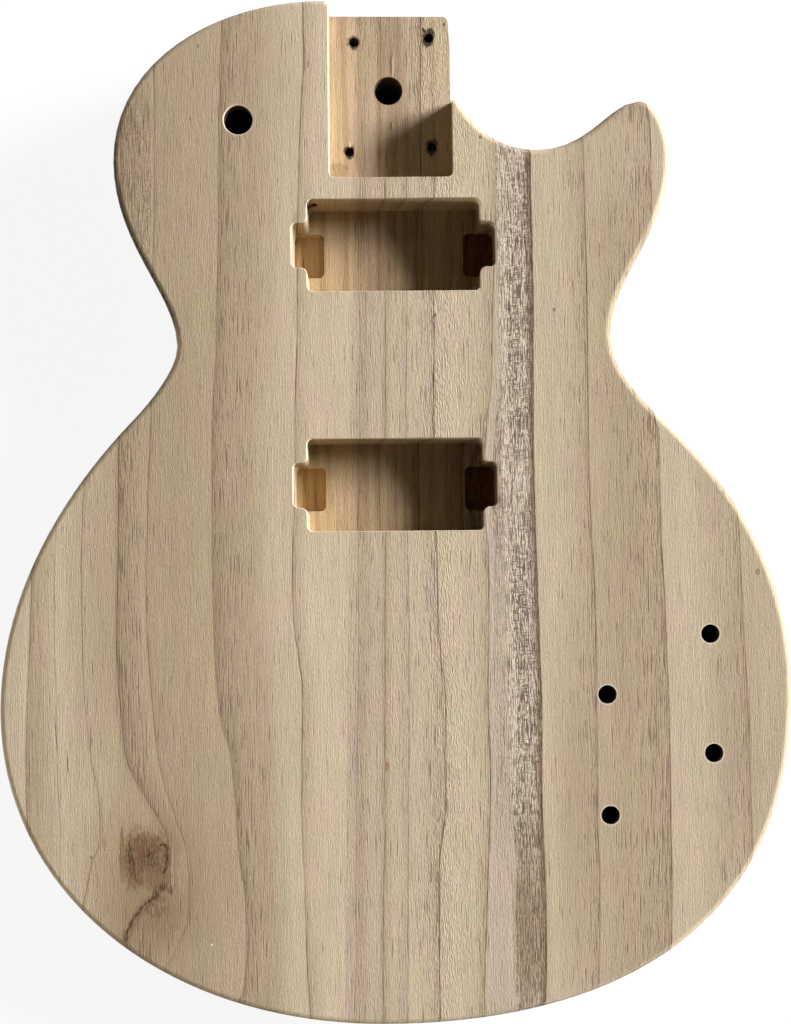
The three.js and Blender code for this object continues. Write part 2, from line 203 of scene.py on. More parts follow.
# The heights of fibres, ripples and pores in shares of the relief, which is in millimetres
WOOD_RELIEF = 0.14
GLUE_RELIEF = 0.05
FIBRE_HEIGHT_SHARE = 0.7
RIPPLE_HEIGHT_SHARE = 2.0
PORE_DEPTH_SHARE = 0.8

# How strongly colours show: pores, lines along the rings, clouds, coarse pores and what is cut
PORE_SHARE = 0.55
LINE_SHARE = 1.7
CLOUD_SHARE = 0.8
COARSE_SHARE = 0.7
STRIPE_SHARE = 0.4
END_GRAIN_SHARE = 0.6
MILLING_SHARE = 0.2
SCORCH_AND_SHADE_SHARE = 0.95

WOOD_ROUGHNESS = 0.74
WOOD_GLOSS = 0.15
GLUE_ROUGHNESS = 0.5
GLUE_GLOSS = 0.3

# The depth of the neck pocket's floor, for marks and screw holes that start there
NECK_DEPTH = 16.0

# The neck's screw holes
SCREW_PLACES = ((-16.15, 209.1), (16.95, 210.8), (-18.4, 160.6), (18.1, 162.3))
SCREW_RADIUS = 2.1

# The holes drilled from the front, by their openings' names, with their radii
FRONT_HOLES = (
    ("switch_hole", 6.3),
    ("pot_hole_upper_outer", 4.05),
    ("pot_hole_upper_inner", 4.05),
    ("pot_hole_lower_outer", 4.05),
    ("pot_hole_lower_inner", 4.05),
    ("middle_hole", 6.1),
)

# The painted shade on the holes' walls, and how far, how strongly and down to which depths their pale rims
# show
HOLE_SHADE_SHARE = 0.9
HOLE_RIM_REACH = 0.75
HOLE_RIM_SHARE = 0.85
HOLE_RIM_DEPTHS = (0.6, 0.4)

# The rims of pockets and edges: their share, and the depths at which their pale tint ends
RIM_SHARE = 0.7
RIM_DEPTHS = (0.5, 0.4)

# The leg slots: the depths between which they lie, the distance over which their painted light and shade
# fade, how far their walls stand off their openings' boxes, and the tints: painted light in the left slots,
# painted shade in the right ones
SLOTS_START = 20.3
SLOTS_END = 26.0
SLOT_FADE = 1.5
SLOT_MARGIN = 1.6
SLOT_EDGE = 0.1
SLOT_LIGHT_AND_SHADE = (
    ("left_leg_slot", (1.35, 1.35, 1.35, 1)),
    ("right_leg_slot", (0.62, 0.36, 0.27, 1)),
)

# The stretch of the left edge with burn marks and painted shade, by Y, and the distance over which it fades
SCORCH_AND_SHADE_BOTTOM = 86.0
SCORCH_AND_SHADE_TOP = 160.0
SCORCH_AND_SHADE_FADE = 14.0

# The crack that runs down to the left from the knot, as (Y, X) places
KNOT_CRACK = (
    (-184.5, -117.9), (-181.5, -117.0), (-178.5, -115.7), (-175.0, -113.9), (-172.9, -112.2),
    (-169.9, -110.0), (-168.2, -107.8), (-166.0, -104.3),
)

# The boards, drawn one by one. A growth ring has a nominal X, the darkness of its line, and (Y, X) places
# along it. Tones, pores and coarse zones are given against the nominal X. The side is that of a ring's
# pores, lean is how far a ring moves left for each millimetre of depth at two places across the board, and
# deep is the painted warm shade on the wood below the front. Ripple gives where the waves across the fibres
# begin, are whole, fade and end.
LEFT = Board(
    rings=(
        Ring(-157.0, 0.35, ((-137, -160), (-86, -159.5), (-54, -158), (-2, -156))),
        Ring(-147.0, 0.22, ((-167, -149), (-150, -145.5), (-115, -146.5), (-54, -147.5), (15, -143.5))),
        Ring(-135.0, 0.4, (
            (-176, -137.5), (-150, -132), (-136, -128.5), (-104, -132.5), (-55, -135.5), (-14, -135.5),
            (32, -131),
        )),
        Ring(-120.0, 0.75, (
            (-185, -117.5), (-168, -107), (-161, -100.5), (-154, -98), (-144, -99), (-133, -103),
            (-123, -108.5), (-113, -114.3), (-103, -117.7), (-86, -119.3), (-64, -120.5), (-43, -120.3),
            (36, -118.7), (150, -117),
        )),
        Ring(-106.5, 0.45, (
            (-196, -100.5), (-185, -94.5), (-167, -90), (-151, -91), (-133, -95.5), (-115, -101),
            (-93, -104.5), (-43, -107.5), (-3, -107), (43, -105.5), (92, -104), (179, -102.5),
        )),
        Ring(-78.5, 0.4, (
            (-211, -69), (-181, -65.5), (-151, -68), (-129, -69.5), (-105, -72), (-86, -76.5), (-55, -78.3),
            (-14, -78.8), (40, -78.4), (70, -76.6), (157, -74.8), (209, -73),
        )),
        Ring(-43.5, 0.5, (
            (-215, -38), (-168, -40), (-129, -40.8), (-86, -40.5), (-65, -41.8), (-29, -44.4), (5, -43.4),
            (53, -42), (157, -39.8), (191, -38),
        )),
    ),
    side=1,
    lean=((-150, 0.3), (-20, 0.05)),
    deep=(246, 238, 230),
    tones=(
        (-170, BEIGE), (-158, CREAM), (-156.5, TAN), (-149, BEIGE), (-146, CREAM), (-137, BEIGE),
        (-134, BEIGE), (-122, SAND), (-119.7, BROWN), (-112, TAN), (-107, SAND), (-106, TAN), (-95, TAN),
        (-82, SAND), (-78.7, SAND), (-78, BROWN), (-72, TAN), (-62, SAND), (-50, CREAM), (-44, CREAM),
        (-43, BEIGE), (-36, PALE), (-16, PALE),
    ),
    pores=(
        (-170, 0.1), (-157.5, 0.1), (-156.5, 0.5), (-150, 0.2), (-136, 0.1), (-134.5, 0.4), (-124, 0.2),
        (-120.3, 0.25), (-119.7, 0.95), (-110, 0.6), (-107, 0.25), (-106, 0.4), (-98, 0.15), (-79, 0.1),
        (-78, 0.85), (-66, 0.5), (-55, 0.2), (-44, 0.1), (-43, 0.35), (-38, 0.15), (-16, 0.15),
    ),
    ripple=None,
    clouds=(
        Cloud(-127, -38, 8, 60, TAN, 0.5),
        Cloud(-108, -152, 26, 30, KNOT_WOOD, 0.9),
        Cloud(-106, -174, 22, 24, KNOT_SHADE, 1.0),
        Cloud(-103, -152, 15, 21, KNOT_SHADE, 0.7),
        Cloud(-47, 178, 10, 30, SAND, 0.4),
    ),
    zones=(
        Zone(-119.8, -108.0, 108, 170, 0.5, 0.9),
    ),
    marks=(
        Mark(-110.1, -130.5, 3.7, 5.4, 0.2, KNOT_GREEN, 0.4),
        Mark(-92.6, -154.0, 3.0, 11.0, 0, KNOT_GREEN, 0.4),
        Mark(-105.6, -151.4, 9.0, 12.0, 0, KNOT_BROWN, 0.85, 0.35, 14),
        Mark(-113.4, -149.6, 5.4, 13.2, -0.06, KNOT_RED, 0.8, 0.5, 14),
        Mark(-108.0, -142.8, 7.4, 4.8, 0.2, KNOT_RED, 0.6, 0.6, 14),
        Mark(-103.0, -159.0, 5.6, 7.0, 0.5, KNOT_BROWN, 0.75, 0.5, 14),
        Mark(-102.3, -149.5, 4.4, 8.8, 0, KNOT_RED, 0.4, 0.8, 14),
        Mark(-118.9, -148.2, 1.3, 11.4, 0, KNOT_OLIVE, 0.75, 0.2),
        Mark(-115.4, -150.0, 1.7, 8.0, 0.14, KNOT_DARK, 0.5, 0.8),
        Mark(-103.5, -174.5, 9.5, 10.5, 0.3, KNOT_GREY, 0.6, 0.9, 9),
        Mark(-103.7, -163.8, 1.9, 4.4, -0.7, KNOT_DARK, 0.75, 0.8),
        Mark(-100.8, -161.4, 1.6, 2.2, 0, KNOT_UMBER, 0.7, 0.8),
        Mark(-104.5, -170.5, 5.5, 4.5, 0, KNOT_UMBER, 0.5, 1.0),
        Mark(-98.0, -163.0, 1.0, 1.9, 0, KNOT_UMBER, 0.8, 0.5),
        Mark(-106.6, -149.3, 3.6, 4.6, 0, KNOT_UMBER, 0.65, 0.9),
        Mark(-106.8, -148.8, 1.6, 2.0, 0, KNOT_DARK, 0.7, 0.9),
        Mark(-101.8, -143.6, 1.3, 0.55, 0.2, KNOT_DARK, 0.85),
        Mark(-97.2, -153.5, 0.55, 9.0, 0, PALE, 0.5),
        Mark(-147.1, -96.0, 0.3, 7.8, 0.08, KNOT_DARK, 0.85),
        Mark(-147.6, -96.0, 0.25, 6.5, 0.08, SPLINTER_AND_HIGHLIGHT, 0.7),
        Mark(-142.1, -107.1, 0.3, 5.2, 0.03, KNOT_DARK, 0.85),
        Mark(-141.6, -107.1, 0.25, 4.5, 0.03, SPLINTER_AND_HIGHLIGHT, 0.7),
        Mark(-80.3, -187.0, 0.5, 0.5, 0, SPLINTER_AND_HIGHLIGHT, 1.0, 0),
        Mark(-132.5, -148.7, 0.6, 0.9, 0, KNOT_DARK, 0.6, 0),
        Mark(-83.1, 202.0, 0.6, 0.8, 0, KNOT_DARK, 0.35, 0),
        Mark(-86.9, 170.5, 0.6, 0.8, 0, KNOT_DARK, 0.35, 0),
        Mark(-68.3, 161.7, 0.6, 0.8, 0, KNOT_DARK, 0.35, 0),
        Mark(-37.3, 199.0, 0.45, 8.6, 0.02, RED_STREAK, 0.85, 0.6),
        Mark(-35.7, 194.0, 0.35, 1.6, 0, RED_STREAK, 0.7, 0),
        # Painted shade in the torn mouths of the neck's screw holes, with a splinter beside one
        Mark(-18.4, 160.8, 2.9, 3.2, 0.1, HOLE_SHADE, 0.95, 0.1, 12, NECK_DEPTH),
        Mark(-18.2, 163.6, 0.6, 1.5, 0, SPLINTER_AND_HIGHLIGHT, 0.9, 0, 2, NECK_DEPTH),
        Mark(-16.2, 209.2, 2.9, 3.1, 0.2, HOLE_SHADE, 0.95, 0.1, 12, NECK_DEPTH),
        Mark(-25.0, 152.5, 5.5, 3.5, 0.2, KNOT_OLIVE, 0.5, 0.7, 3, NECK_DEPTH),
        Mark(-36.4, 133.0, 1.1, 1.7, 0.4, KNOT_DARK, 0.75, 0.5, 6),
        Mark(-35.0, 130.6, 1.3, 0.5, 0.5, SPLINTER_AND_HIGHLIGHT, 0.8, 0.3, 9),
        Mark(-40.4, 124.6, 0.9, 0.7, 0.3, UMBER, 0.7, 0.5, 4),
    ),
    loops=(
        Loop(-106.1, -149.3, 2.9, 0.9, KNOT_DARK, 0.45),
        Loop(-105.6, -149.6, 5.4, 0.8, KNOT_UMBER, 0.4),
    ),
    strokes=(
        Stroke(((-159.5, -112.9), (-150, -114.6), (-142.2, -116.2)), 0.8, KNOT_DARK, 0.6),
        Stroke(((-152.6, -115.0), (-149.5, -115.8), (-145.7, -116.2)), 0.6, KNOT_DARK, 0.6),
        Stroke((
            (-155.5, -100.6), (-153.4, -100.0), (-149.1, -99.3), (-145.2, -99.5), (-143.5, -100.9),
        ), 1.05, KNOT_DARK, 1.0),
        Stroke(KNOT_CRACK, 2.7, KNOT_UMBER, 0.5),
        Stroke(KNOT_CRACK, 1.15, KNOT_DARK, 0.85),
    ),
)
CENTRE = Board(
    rings=(
        Ring(-14.6, 0.3, ((-211, -18.6), (-168, -17.8), (-82, -16.2), (5, -14.6), (92, -13.9), (210, -13))),
        Ring(-3.4, 0.4, ((-211, -6), (-82, -4.5), (5, -3.4), (91, -2.7), (210, -1.5))),
        Ring(5.7, 0.35, ((-211, 4), (-125, 5.5), (-38, 6.2), (5, 5.7), (91, 6), (210, 7.5))),
        Ring(18.1, 0.6, (
            (-216, 18.2), (-158, 18.4), (-116, 21.6), (-87, 21.6), (-65, 19.8), (-21, 18.5), (49, 17.7),
            (92, 18.3), (210, 19.5),
        )),
        Ring(39.8, 0.5, (
            (-212, 38), (-160, 39.4), (-108, 41.1), (-73, 40.5), (-21, 41), (5, 39.4), (34, 40.1),
            (56, 42.5), (95, 44.1), (121, 45.2), (160, 46),
        )),
    ),
    side=-1,
    lean=((-15, 0.05), (20, 0.45)),
    deep=(251, 246, 242),
    tones=(
        (-24, CREAM), (-18, GREIGE), (-15, GREIGE), (-13.5, SAND), (-9, GREIGE), (-5, GREIGE),
        (-3.2, SAND), (0, CREAM), (4, GREIGE), (6.5, CREAM), (11, CREAM), (16, GREIGE), (18.6, CREAM),
        (26, PALE), (34, CREAM), (39, BEIGE), (40.3, ROSE), (50, ROSE),
    ),
    pores=(
        (-24, 0.2), (-17, 0.4), (-13, 0.65), (-8, 0.3), (-4, 0.5), (-2, 0.25), (4, 0.5), (7, 0.3),
        (12, 0.6), (18, 0.9), (19, 0.3), (26, 0.35), (34, 0.5), (39, 0.75), (41, 0.3), (50, 0.4),
    ),
    ripple=(12.0, 17.6, 19.0, 32.0),
    clouds=(),
    zones=(
        Zone(43.2, 56.0, 0, 240, 0.9, 0.6),
        Zone(42.0, 56.0, -130, 0, 0.4, 0.3),
    ),
    marks=(
        Mark(-3.9, -110.6, 0.9, 2.2, 0, RED_STREAK, 0.7),
        Mark(23.9, 217.0, 0.7, 1.0, 0, KNOT_DARK, 0.8, 0, 30),
        Mark(18.2, 84.8, 0.6, 0.9, 0, KNOT_DARK, 0.6, 0),
        Mark(38.6, 161.7, 0.6, 0.9, 0, KNOT_DARK, 0.6, 0),
        # Painted shade in the torn mouths of the neck's screw holes, with a splinter beside one
        Mark(-16.2, 209.2, 2.9, 3.1, 0.2, HOLE_SHADE, 0.95, 0.1, 12, NECK_DEPTH),
        Mark(-16.5, 212.4, 1.3, 0.5, 0.3, SPLINTER_AND_HIGHLIGHT, 0.8, 0, 2, NECK_DEPTH),
        Mark(17.0, 211.1, 2.9, 3.9, -0.2, HOLE_SHADE, 0.95, 0.1, 12, NECK_DEPTH),
        Mark(15.2, 214.2, 0.7, 1.7, 0.6, HOLE_SHADE, 0.9, 0, 2, NECK_DEPTH),
        Mark(18.1, 162.6, 2.9, 3.9, -0.15, HOLE_SHADE, 0.95, 0.1, 12, NECK_DEPTH),
        # Cracks in the neck pocket's floor, each with a painted highlight beside it
        Mark(0.3, 200.0, 0.6, 5.4, 0, KNOT_UMBER, 0.85, 0.3, 2, NECK_DEPTH),
        Mark(1.1, 199.2, 0.5, 4.6, 0, SPLINTER_AND_HIGHLIGHT, 0.9, 0.2, 2, NECK_DEPTH),
        Mark(0.2, 172.6, 0.5, 1.9, 0, KNOT_UMBER, 0.8, 0, 2, NECK_DEPTH),
        Mark(0.9, 172.4, 0.4, 1.4, 0, SPLINTER_AND_HIGHLIGHT, 0.8, 0, 2, NECK_DEPTH),
    ),
    loops=(),
    strokes=(),
)
RIGHT = Board(
    rings=(
        Ring(60.7, 0.8, (
            (-212, 64), (-159, 64.2), (-116, 63.1), (-91, 63.4), (-58, 62.7), (-13, 61.2), (34, 60.9),
            (156, 60.4),
        )),
        Ring(85.0, 0.5, (
            (-195, 87.2), (-159, 87.8), (-130, 87), (-74, 87.2), (-30, 86.2), (13, 84.9), (92, 84.3),
            (160, 83),
        )),
        Ring(115.0, 0.55, (
            (-212, 119), (-159, 118.8), (-102, 118.6), (-59, 117.5), (-16, 115.7), (34, 114.5), (41, 113),
            (134, 112.8), (173, 111),
        )),
        Ring(150.0, 0.45, ((-146, 154.2), (-117, 153.6), (-59, 151.2), (-9, 149.5), (12, 147.7))),
    ),
    side=-1,
    lean=((50, 0.5), (160, 0.6)),
    deep=(251, 246, 242),
    tones=(
        (42, ROSE), (47, LILAC), (53, LILAC), (57, LILAC),
        (58.3, LILAC_DARK), (59.6, OLIVE_BROWN), (60.4, UMBER), (60.9, CREAM), (72, CREAM), (80, BEIGE),
        (84.6, SAND), (85.6, BEIGE), (95, SAND), (105, SAND), (114.6, SAND), (115.6, CREAM), (128, CREAM),
        (138, BEIGE), (143, BEIGE), (149.6, SAND), (150.6, BEIGE), (175, BEIGE),
    ),
    pores=(
        (42, 0.5), (60.4, 0.9), (61.2, 0.15), (74, 0.35), (84.6, 0.75), (85.5, 0.15), (96, 0.45),
        (114.6, 0.95), (115.4, 0.1), (132, 0.2), (149.6, 0.75), (150.5, 0.15), (175, 0.15),
    ),
    ripple=None,
    clouds=(
        Cloud(77, -130, 9, 75, OLIVE_BROWN, 0.7),
        Cloud(56, -180, 9, 52, BAND_BROWN, 1.0),
        Cloud(146, -85, 9, 50, TAN, 0.6),
        Cloud(97, 155, 16, 25, CREAM, 0.6),
    ),
    zones=(
        Zone(44.0, 60.6, -130, 240, 0.9, 0.5),
        Zone(48.0, 60.6, -240, -130, 0.85, 0.2),
        Zone(50.0, 60.4, 35, 140, 0.8, 1.0),
        Zone(50.0, 60.4, -100, -10, 0.8, 1.0),
    ),
    marks=(
        Mark(157.1, -27.5, 1.0, 1.4, 0, UMBER, 0.7, 0),
        Mark(70.0, 86.6, 0.6, 0.9, 0, KNOT_DARK, 0.6, 0),
    ),
    loops=(),
    strokes=(),
)


def linear(colour):
    """A linear colour from sRGB values up to 255."""
    shares = [value / 255 for value in colour]
    return [s / 12.92 if s <= 0.04045 else ((s + 0.055) / 1.055) ** 2.4 for s in shares] + [1.0]


class Shader:
    """A node material that is built by small calls, most of which return an output socket."""

    def __init__(self, name):
        self.material = bpy.data.materials.new(name)
        self.material.use_nodes = True
        self.tree = self.material.node_tree
        self.tree.nodes.clear()

    def put(self, socket, value):
        """Links an output to a node's input, or sets the input to a plain value."""
        if isinstance(value, bpy.types.NodeSocket):
            self.tree.links.new(value, socket)
        else:
            socket.default_value = value

    def add(self, kind, inputs=None, **settings):
        """A new node with its settings, and with inputs given by name or index."""
        node = self.tree.nodes.new(kind)
        for key, value in settings.items():
            setattr(node, key, value)
        for key, value in (inputs or {}).items():
            self.put(node.inputs[key], value)
        return node

    def math(self, operation, *values):
        return self.add("ShaderNodeMath", dict(enumerate(values)), operation=operation).outputs[0]

    def product(self, *values):
        """All the values multiplied."""
        total = values[0]
        for value in values[1:]:
            total = self.math("MULTIPLY", total, value)
        return total

    def between(self, value, low, high, start=0.0, end=1.0, kind="LINEAR"):
        """Runs from start to end, and no further, as value goes from low to high."""
        inputs = {"Value": value, "From Min": low, "From Max": high, "To Min": start, "To Max": end}
        return self.add("ShaderNodeMapRange", inputs, interpolation_type=kind).outputs[0]

    def around(self, value, low, high, fade):
        """1 from low to high, and down to 0 over the fade on both sides."""
        return self.product(self.between(value, low - fade, low), self.between(value, high + fade, high))

    def vector(self, *parts):
        return self.add("ShaderNodeCombineXYZ", dict(enumerate(parts))).outputs[0]

    def parts(self, vector):
        return self.add("ShaderNodeSeparateXYZ", {0: vector}).outputs

    def length(self, vector):
        return self.add("ShaderNodeVectorMath", {0: vector}, operation="LENGTH").outputs["Value"]

    def normal(self, kind):
        """The three parts of the direction in which the surface faces."""
        return self.parts(self.add("ShaderNodeNewGeometry").outputs[kind])

    def distance(self, x, y, spot, width=1.0, length=1.0):
        """How far a place is from a spot's middle, in units of a width and a length."""
        across = self.math("DIVIDE", self.math("SUBTRACT", x, spot.x), width)
        along = self.math("DIVIDE", self.math("SUBTRACT", y, spot.y), length)
        return self.length(self.vector(across, along))

    def scaled(self, texture, place):
        """The place in units of the texture's sizes, moved along by its offset."""
        sizes = (texture.across, texture.along, texture.across)
        parts = [self.math("DIVIDE", value, size) for value, size in zip(place, sizes)]
        parts[1] = self.math("ADD", parts[1], texture.offset)
        return self.vector(*parts)

    def noise(self, texture, *place):
        """Noise from about 0 to 1 along two or three coordinates."""
        inputs = {
            "Vector": self.scaled(texture, place),
            "Scale": 1.0,
            "Detail": texture.detail,
            "Roughness": texture.roughness,
        }
        dimensions = "%dD" % len(place)
        return self.add("ShaderNodeTexNoise", inputs, noise_dimensions=dimensions).outputs["Fac"]

    def needles(self, texture, x, y, size):
        """Thin strokes, one to each of the texture's cells, of random sizes up to a share of the cell."""
        inputs = {"Vector": self.scaled(texture, (x, y)), "Scale": 1.0}
        cells = self.add("ShaderNodeTexVoronoi", inputs, voronoi_dimensions="2D").outputs
        chance = self.add("ShaderNodeSeparateColor", {0: cells["Color"]}).outputs[0]
        reach = self.math("MULTIPLY", chance, size)
        return self.between(cells["Distance"], reach, self.math("MULTIPLY", reach, 0.5))

    def mix(self, share, first, second, blend="MIX"):
        """The first colour where the share is 0, and the second over it where the share is 1."""
        node = self.add("ShaderNodeMix", data_type="RGBA", blend_type=blend)
        for index, value in ((0, share), (6, first), (7, second)):
            self.put(node.inputs[index], value)
        return node.outputs[2]

    def times(self, vector, factor):
        """A colour or a place multiplied by one factor."""
        return self.add("ShaderNodeVectorMath", {0: vector, 3: factor}, operation="SCALE").outputs[0]

    def ramp(self, value, stops):
        """A colour ramp whose stops are rising places with an sRGB colour or a plain share each."""
        low, high = stops[0][0], stops[-1][0]
        node = self.add("ShaderNodeValToRGB", {"Fac": self.between(value, low, high)})
        elements = node.color_ramp.elements
        while len(elements) < len(stops):
            elements.new(1.0)
        for element, (place, tone) in zip(elements, stops):
            element.position = (place - low) / (high - low)
            element.color = (tone, tone, tone, 1.0) if isinstance(tone, (int, float)) else linear(tone)
        return node.outputs["Color"]

    def curve(self, value, places):
        """The second number of the places, on a smooth line through them, where the first is the value."""
        (low, high), (start, end) = ((min(column), max(column)) for column in zip(*places))
        node = self.add("ShaderNodeFloatCurve", {"Factor": 1.0, "Value": self.between(value, low, high)})
        points = node.mapping.curves[0].points
        while len(points) < len(places):
            points.new(0.5, 0.5)
        for point, (first, second) in zip(points, places):
            point.location = ((first - low) / (high - low), (second - start) / (end - start))
        node.mapping.update()
        return self.math("MULTIPLY_ADD", node.outputs["Value"], end - start, start)

    def output(self, surface):
        """Ends the material with a surface shader's output."""
        self.add("ShaderNodeOutputMaterial", {"Surface": surface})
        return self.material

    def finish(self, colour, roughness, gloss, height, relief):
        """Ends the material with a plain surface whose height of 1 stands for the relief."""
        bump = self.add("ShaderNodeBump", {"Height": height, "Distance": relief * MM, "Strength": 1.0})
        surface = self.add("ShaderNodeBsdfPrincipled", {
            "Base Color": colour,
            "Roughness": roughness,
            "Specular IOR Level": gloss,
            "Normal": bump.outputs["Normal"],
        })
        return self.output(surface.outputs["BSDF"])


def coordinates(g):
    """Object coordinates in millimetres."""
    place = g.add("ShaderNodeTexCoord").outputs["Object"]
    return g.parts(g.times(place, 1 / MM))


def wood(name, board, thickness):
    """Wood whose rings, pores and streaks follow the board's growth rings."""
    g = Shader(name)
    x, y, z = coordinates(g)
    depth = g.math("SUBTRACT", thickness, z)
    across = across_fibres(g, board, x, y, depth)
    lines = [g.curve(y, ring.places) for ring in board.rings]
    u = ring_place(g, board, across, lines)
    colour, height = grained(g, board, u, across, y)
    if board.ripple:
        colour, height = ripples(g, board.ripple, u, y, colour, height)
    colour = clouds(g, board, x, y, colour)
    pores = fine_pores(g, across, y, g.ramp(u, board.pores))
    colour = g.mix(g.math("MULTIPLY", pores, PORE_SHARE), colour, linear(PORE))
    colour = ring_lines(g, board, across, y, lines, colour)
    for zone in board.zones:
        colour, pores = coarse_zone(g, zone, u, y, colour, pores)
    colour = knots_and_spots(g, board, x, y, depth, colour)
    colour = drilled(g, x, y, depth, colour)
    # Burn marks and painted shade on the left board's edge
    if board is LEFT:
        colour = scorch_and_shade(g, x, y, colour)
    colour = cut_faces(g, board, across, y, depth, colour)
    # Painted light and shade in the leg slots
    colour = slots(g, x, y, depth, colour)
    height = g.math("MULTIPLY_ADD", pores, -PORE_DEPTH_SHARE, height)
    return g.finish(colour, WOOD_ROUGHNESS, WOOD_GLOSS, height, WOOD_RELIEF)


def across_fibres(g, board, x, y, depth):
    """X followed back along the leaning, wavering fibres to the front."""
    (x_low, lean_low), (x_high, lean_high) = board.lean
    lean = g.between(x, x_low, x_high, lean_low, lean_high)
    straight = g.math("MULTIPLY_ADD", lean, depth, x)
    waver = g.math("SUBTRACT", g.noise(WAVER, straight, y), 0.5)
    return g.math("MULTIPLY_ADD", waver, WAVER_WIDTH, straight)


def ring_place(g, board, across, lines):
    """The place across the board as it would be if every ring ran straight along its nominal X."""
    nominal = [ring.nominal for ring in board.rings]
    u = g.math("ADD", nominal[0], g.math("MINIMUM", g.math("SUBTRACT", across, lines[0]), 0))
    for k in range(len(lines) - 1):
        u = g.math("ADD", u, g.between(across, lines[k], lines[k + 1], 0, nominal[k + 1] - nominal[k]))
    return g.math("ADD", u, g.math("MAXIMUM", g.math("SUBTRACT", across, lines[-1]), 0))


def grained(g, board, u, across, y):
    """The wood's colour with its blotches, streaks and fibres, and the height of the fibres."""
    hue = g.between(g.noise(HUES, across, y), 0.36, 0.64)
    tint = g.mix(hue, linear(OLIVE_TINT), linear(PINK_TINT))
    colour = g.mix(1.0, g.ramp(u, board.tones), tint, blend="MULTIPLY")
    textures = {kind: g.noise(kind, across, y) for kind, contrast in CONTRASTS}
    light = 1.0
    for kind, contrast in CONTRASTS:
        light = g.math("MULTIPLY_ADD", g.math("SUBTRACT", textures[kind], 0.5), contrast, light)
    height = g.math("MULTIPLY_ADD", textures[FIBRES], FIBRE_HEIGHT_SHARE, textures[GRAIN])
    return g.times(colour, light), height


def ripples(g, places, u, y, colour, height):
    """Short, slightly slanted waves in the fibres between places across the board."""
    low, fade_low, fade_high, high = places
    rising = g.between(u, low, fade_low, RIPPLE_OUTSIDE, 1.0)
    falling = g.between(u, high, fade_high, RIPPLE_OUTSIDE, 1.0)
    slanted = g.math("MULTIPLY_ADD", y, RIPPLE_SLANT, u)
    wave = g.math("SUBTRACT", g.noise(RIPPLES, slanted, y), 0.5)
    lift = g.product(wave, rising, falling)
    colour = g.times(colour, g.math("MULTIPLY_ADD", lift, RIPPLE_CONTRAST, 1.0))
    return colour, g.math("MULTIPLY_ADD", lift, RIPPLE_HEIGHT_SHARE, height)


def clouds(g, board, x, y, colour):
    """Soft, wide stains of other colours."""
    for cloud in board.clouds:
        away = g.distance(x, y, cloud, cloud.width, cloud.length)
        mask = g.between(away, 1.5, 0.2, 0.0, cloud.share * CLOUD_SHARE, kind="SMOOTHSTEP")
        colour = g.mix(mask, colour, linear(cloud.colour))
    return colour


def fine_pores(g, across, y, density):
    """Wavy lines and short strokes along the fibres, the more and larger the higher the density."""
    level = g.math("MULTIPLY_ADD", density, -0.19, 0.715)
    hairs = g.between(g.math("SUBTRACT", g.noise(HAIRS, across, y), level), 0.0, 0.08)
    needles = g.needles(NEEDLES, across, y, g.math("MULTIPLY", density, NEEDLE_SIZE))
    return g.math("MAXIMUM", hairs, needles)


def ring_lines(g, board, across, y, lines, colour):
    """A thin dark line along each ring, and a fainter one beside it, both fading and breaking up."""
    fade = g.between(g.noise(LINE_FADES, across, y), 0.3, 0.6, 0.5, 1.0)
    broken = g.between(g.noise(LINE_BREAKS, across, y), 0.35, 0.6, 0.5, 1.0)
    for ring, line in zip(board.rings, lines):
        inward = g.math("MULTIPLY", g.math("SUBTRACT", across, line), board.side)
        first = g.product(g.between(inward, -0.2, 0.0), g.between(inward, 0.7, 0.3))
        second = g.around(inward, 1.2, 1.35, 0.2)
        both = g.math("MULTIPLY_ADD", second, 0.4, first)
        share = min(ring.line * LINE_SHARE, 1.0)
        colour = g.mix(g.product(both, fade, broken, share), colour, linear(LINE))
    return colour


def coarse_zone(g, zone, u, y, colour, pores):
    """Dense, open pores between two places across the board, crossed by short level ones."""
    cloud = g.between(g.noise(COARSE_CLOUDS, u, y), 0.3, 0.7, 0.012, -0.022)
    upright, short, level = (
        g.between(g.math("SUBTRACT", g.noise(kind, u, y), cloud), low, high)
        for kind, low, high in COARSE_LEVELS
    )
    patches = g.between(g.noise(LEVEL_PATCHES, u, y), 0.4, 0.55)
    upright = g.math("MAXIMUM", upright, g.math("MULTIPLY", short, 0.8))
    pattern = g.math("MAXIMUM", upright, g.product(level, patches, zone.hatch))
    across_here = g.around(u, zone.left, zone.right, 0.5)
    along_here = g.around(y, zone.bottom, zone.top, 25.0)
    mask = g.product(pattern, across_here, along_here, zone.share)
    colour = g.mix(g.math("MULTIPLY", mask, COARSE_SHARE), colour, linear(COARSE_PORE))
    return colour, g.math("MAXIMUM", pores, mask)


def knots_and_spots(g, board, x, y, depth, colour):
    """The board's marks, loops and strokes, all with ragged edges and mottled."""
    ragged = g.math("SUBTRACT", g.noise(RAGGED_EDGES, x, y), 0.5)
    mottle = g.between(g.noise(MOTTLE, x, y), 0.36, 0.6)
    shallow = g.between(depth, 5.0, 3.0)
    colour = marks(g, board, g.vector(x, y, depth), ragged, mottle, colour)
    colour = loops(g, board, x, y, ragged, g.math("MULTIPLY", mottle, shallow), colour)
    patchy = g.between(mottle, 0.0, 1.0, 0.55, 1.0)
    return strokes(g, board, x, y, ragged, g.math("MULTIPLY", patchy, shallow), colour)


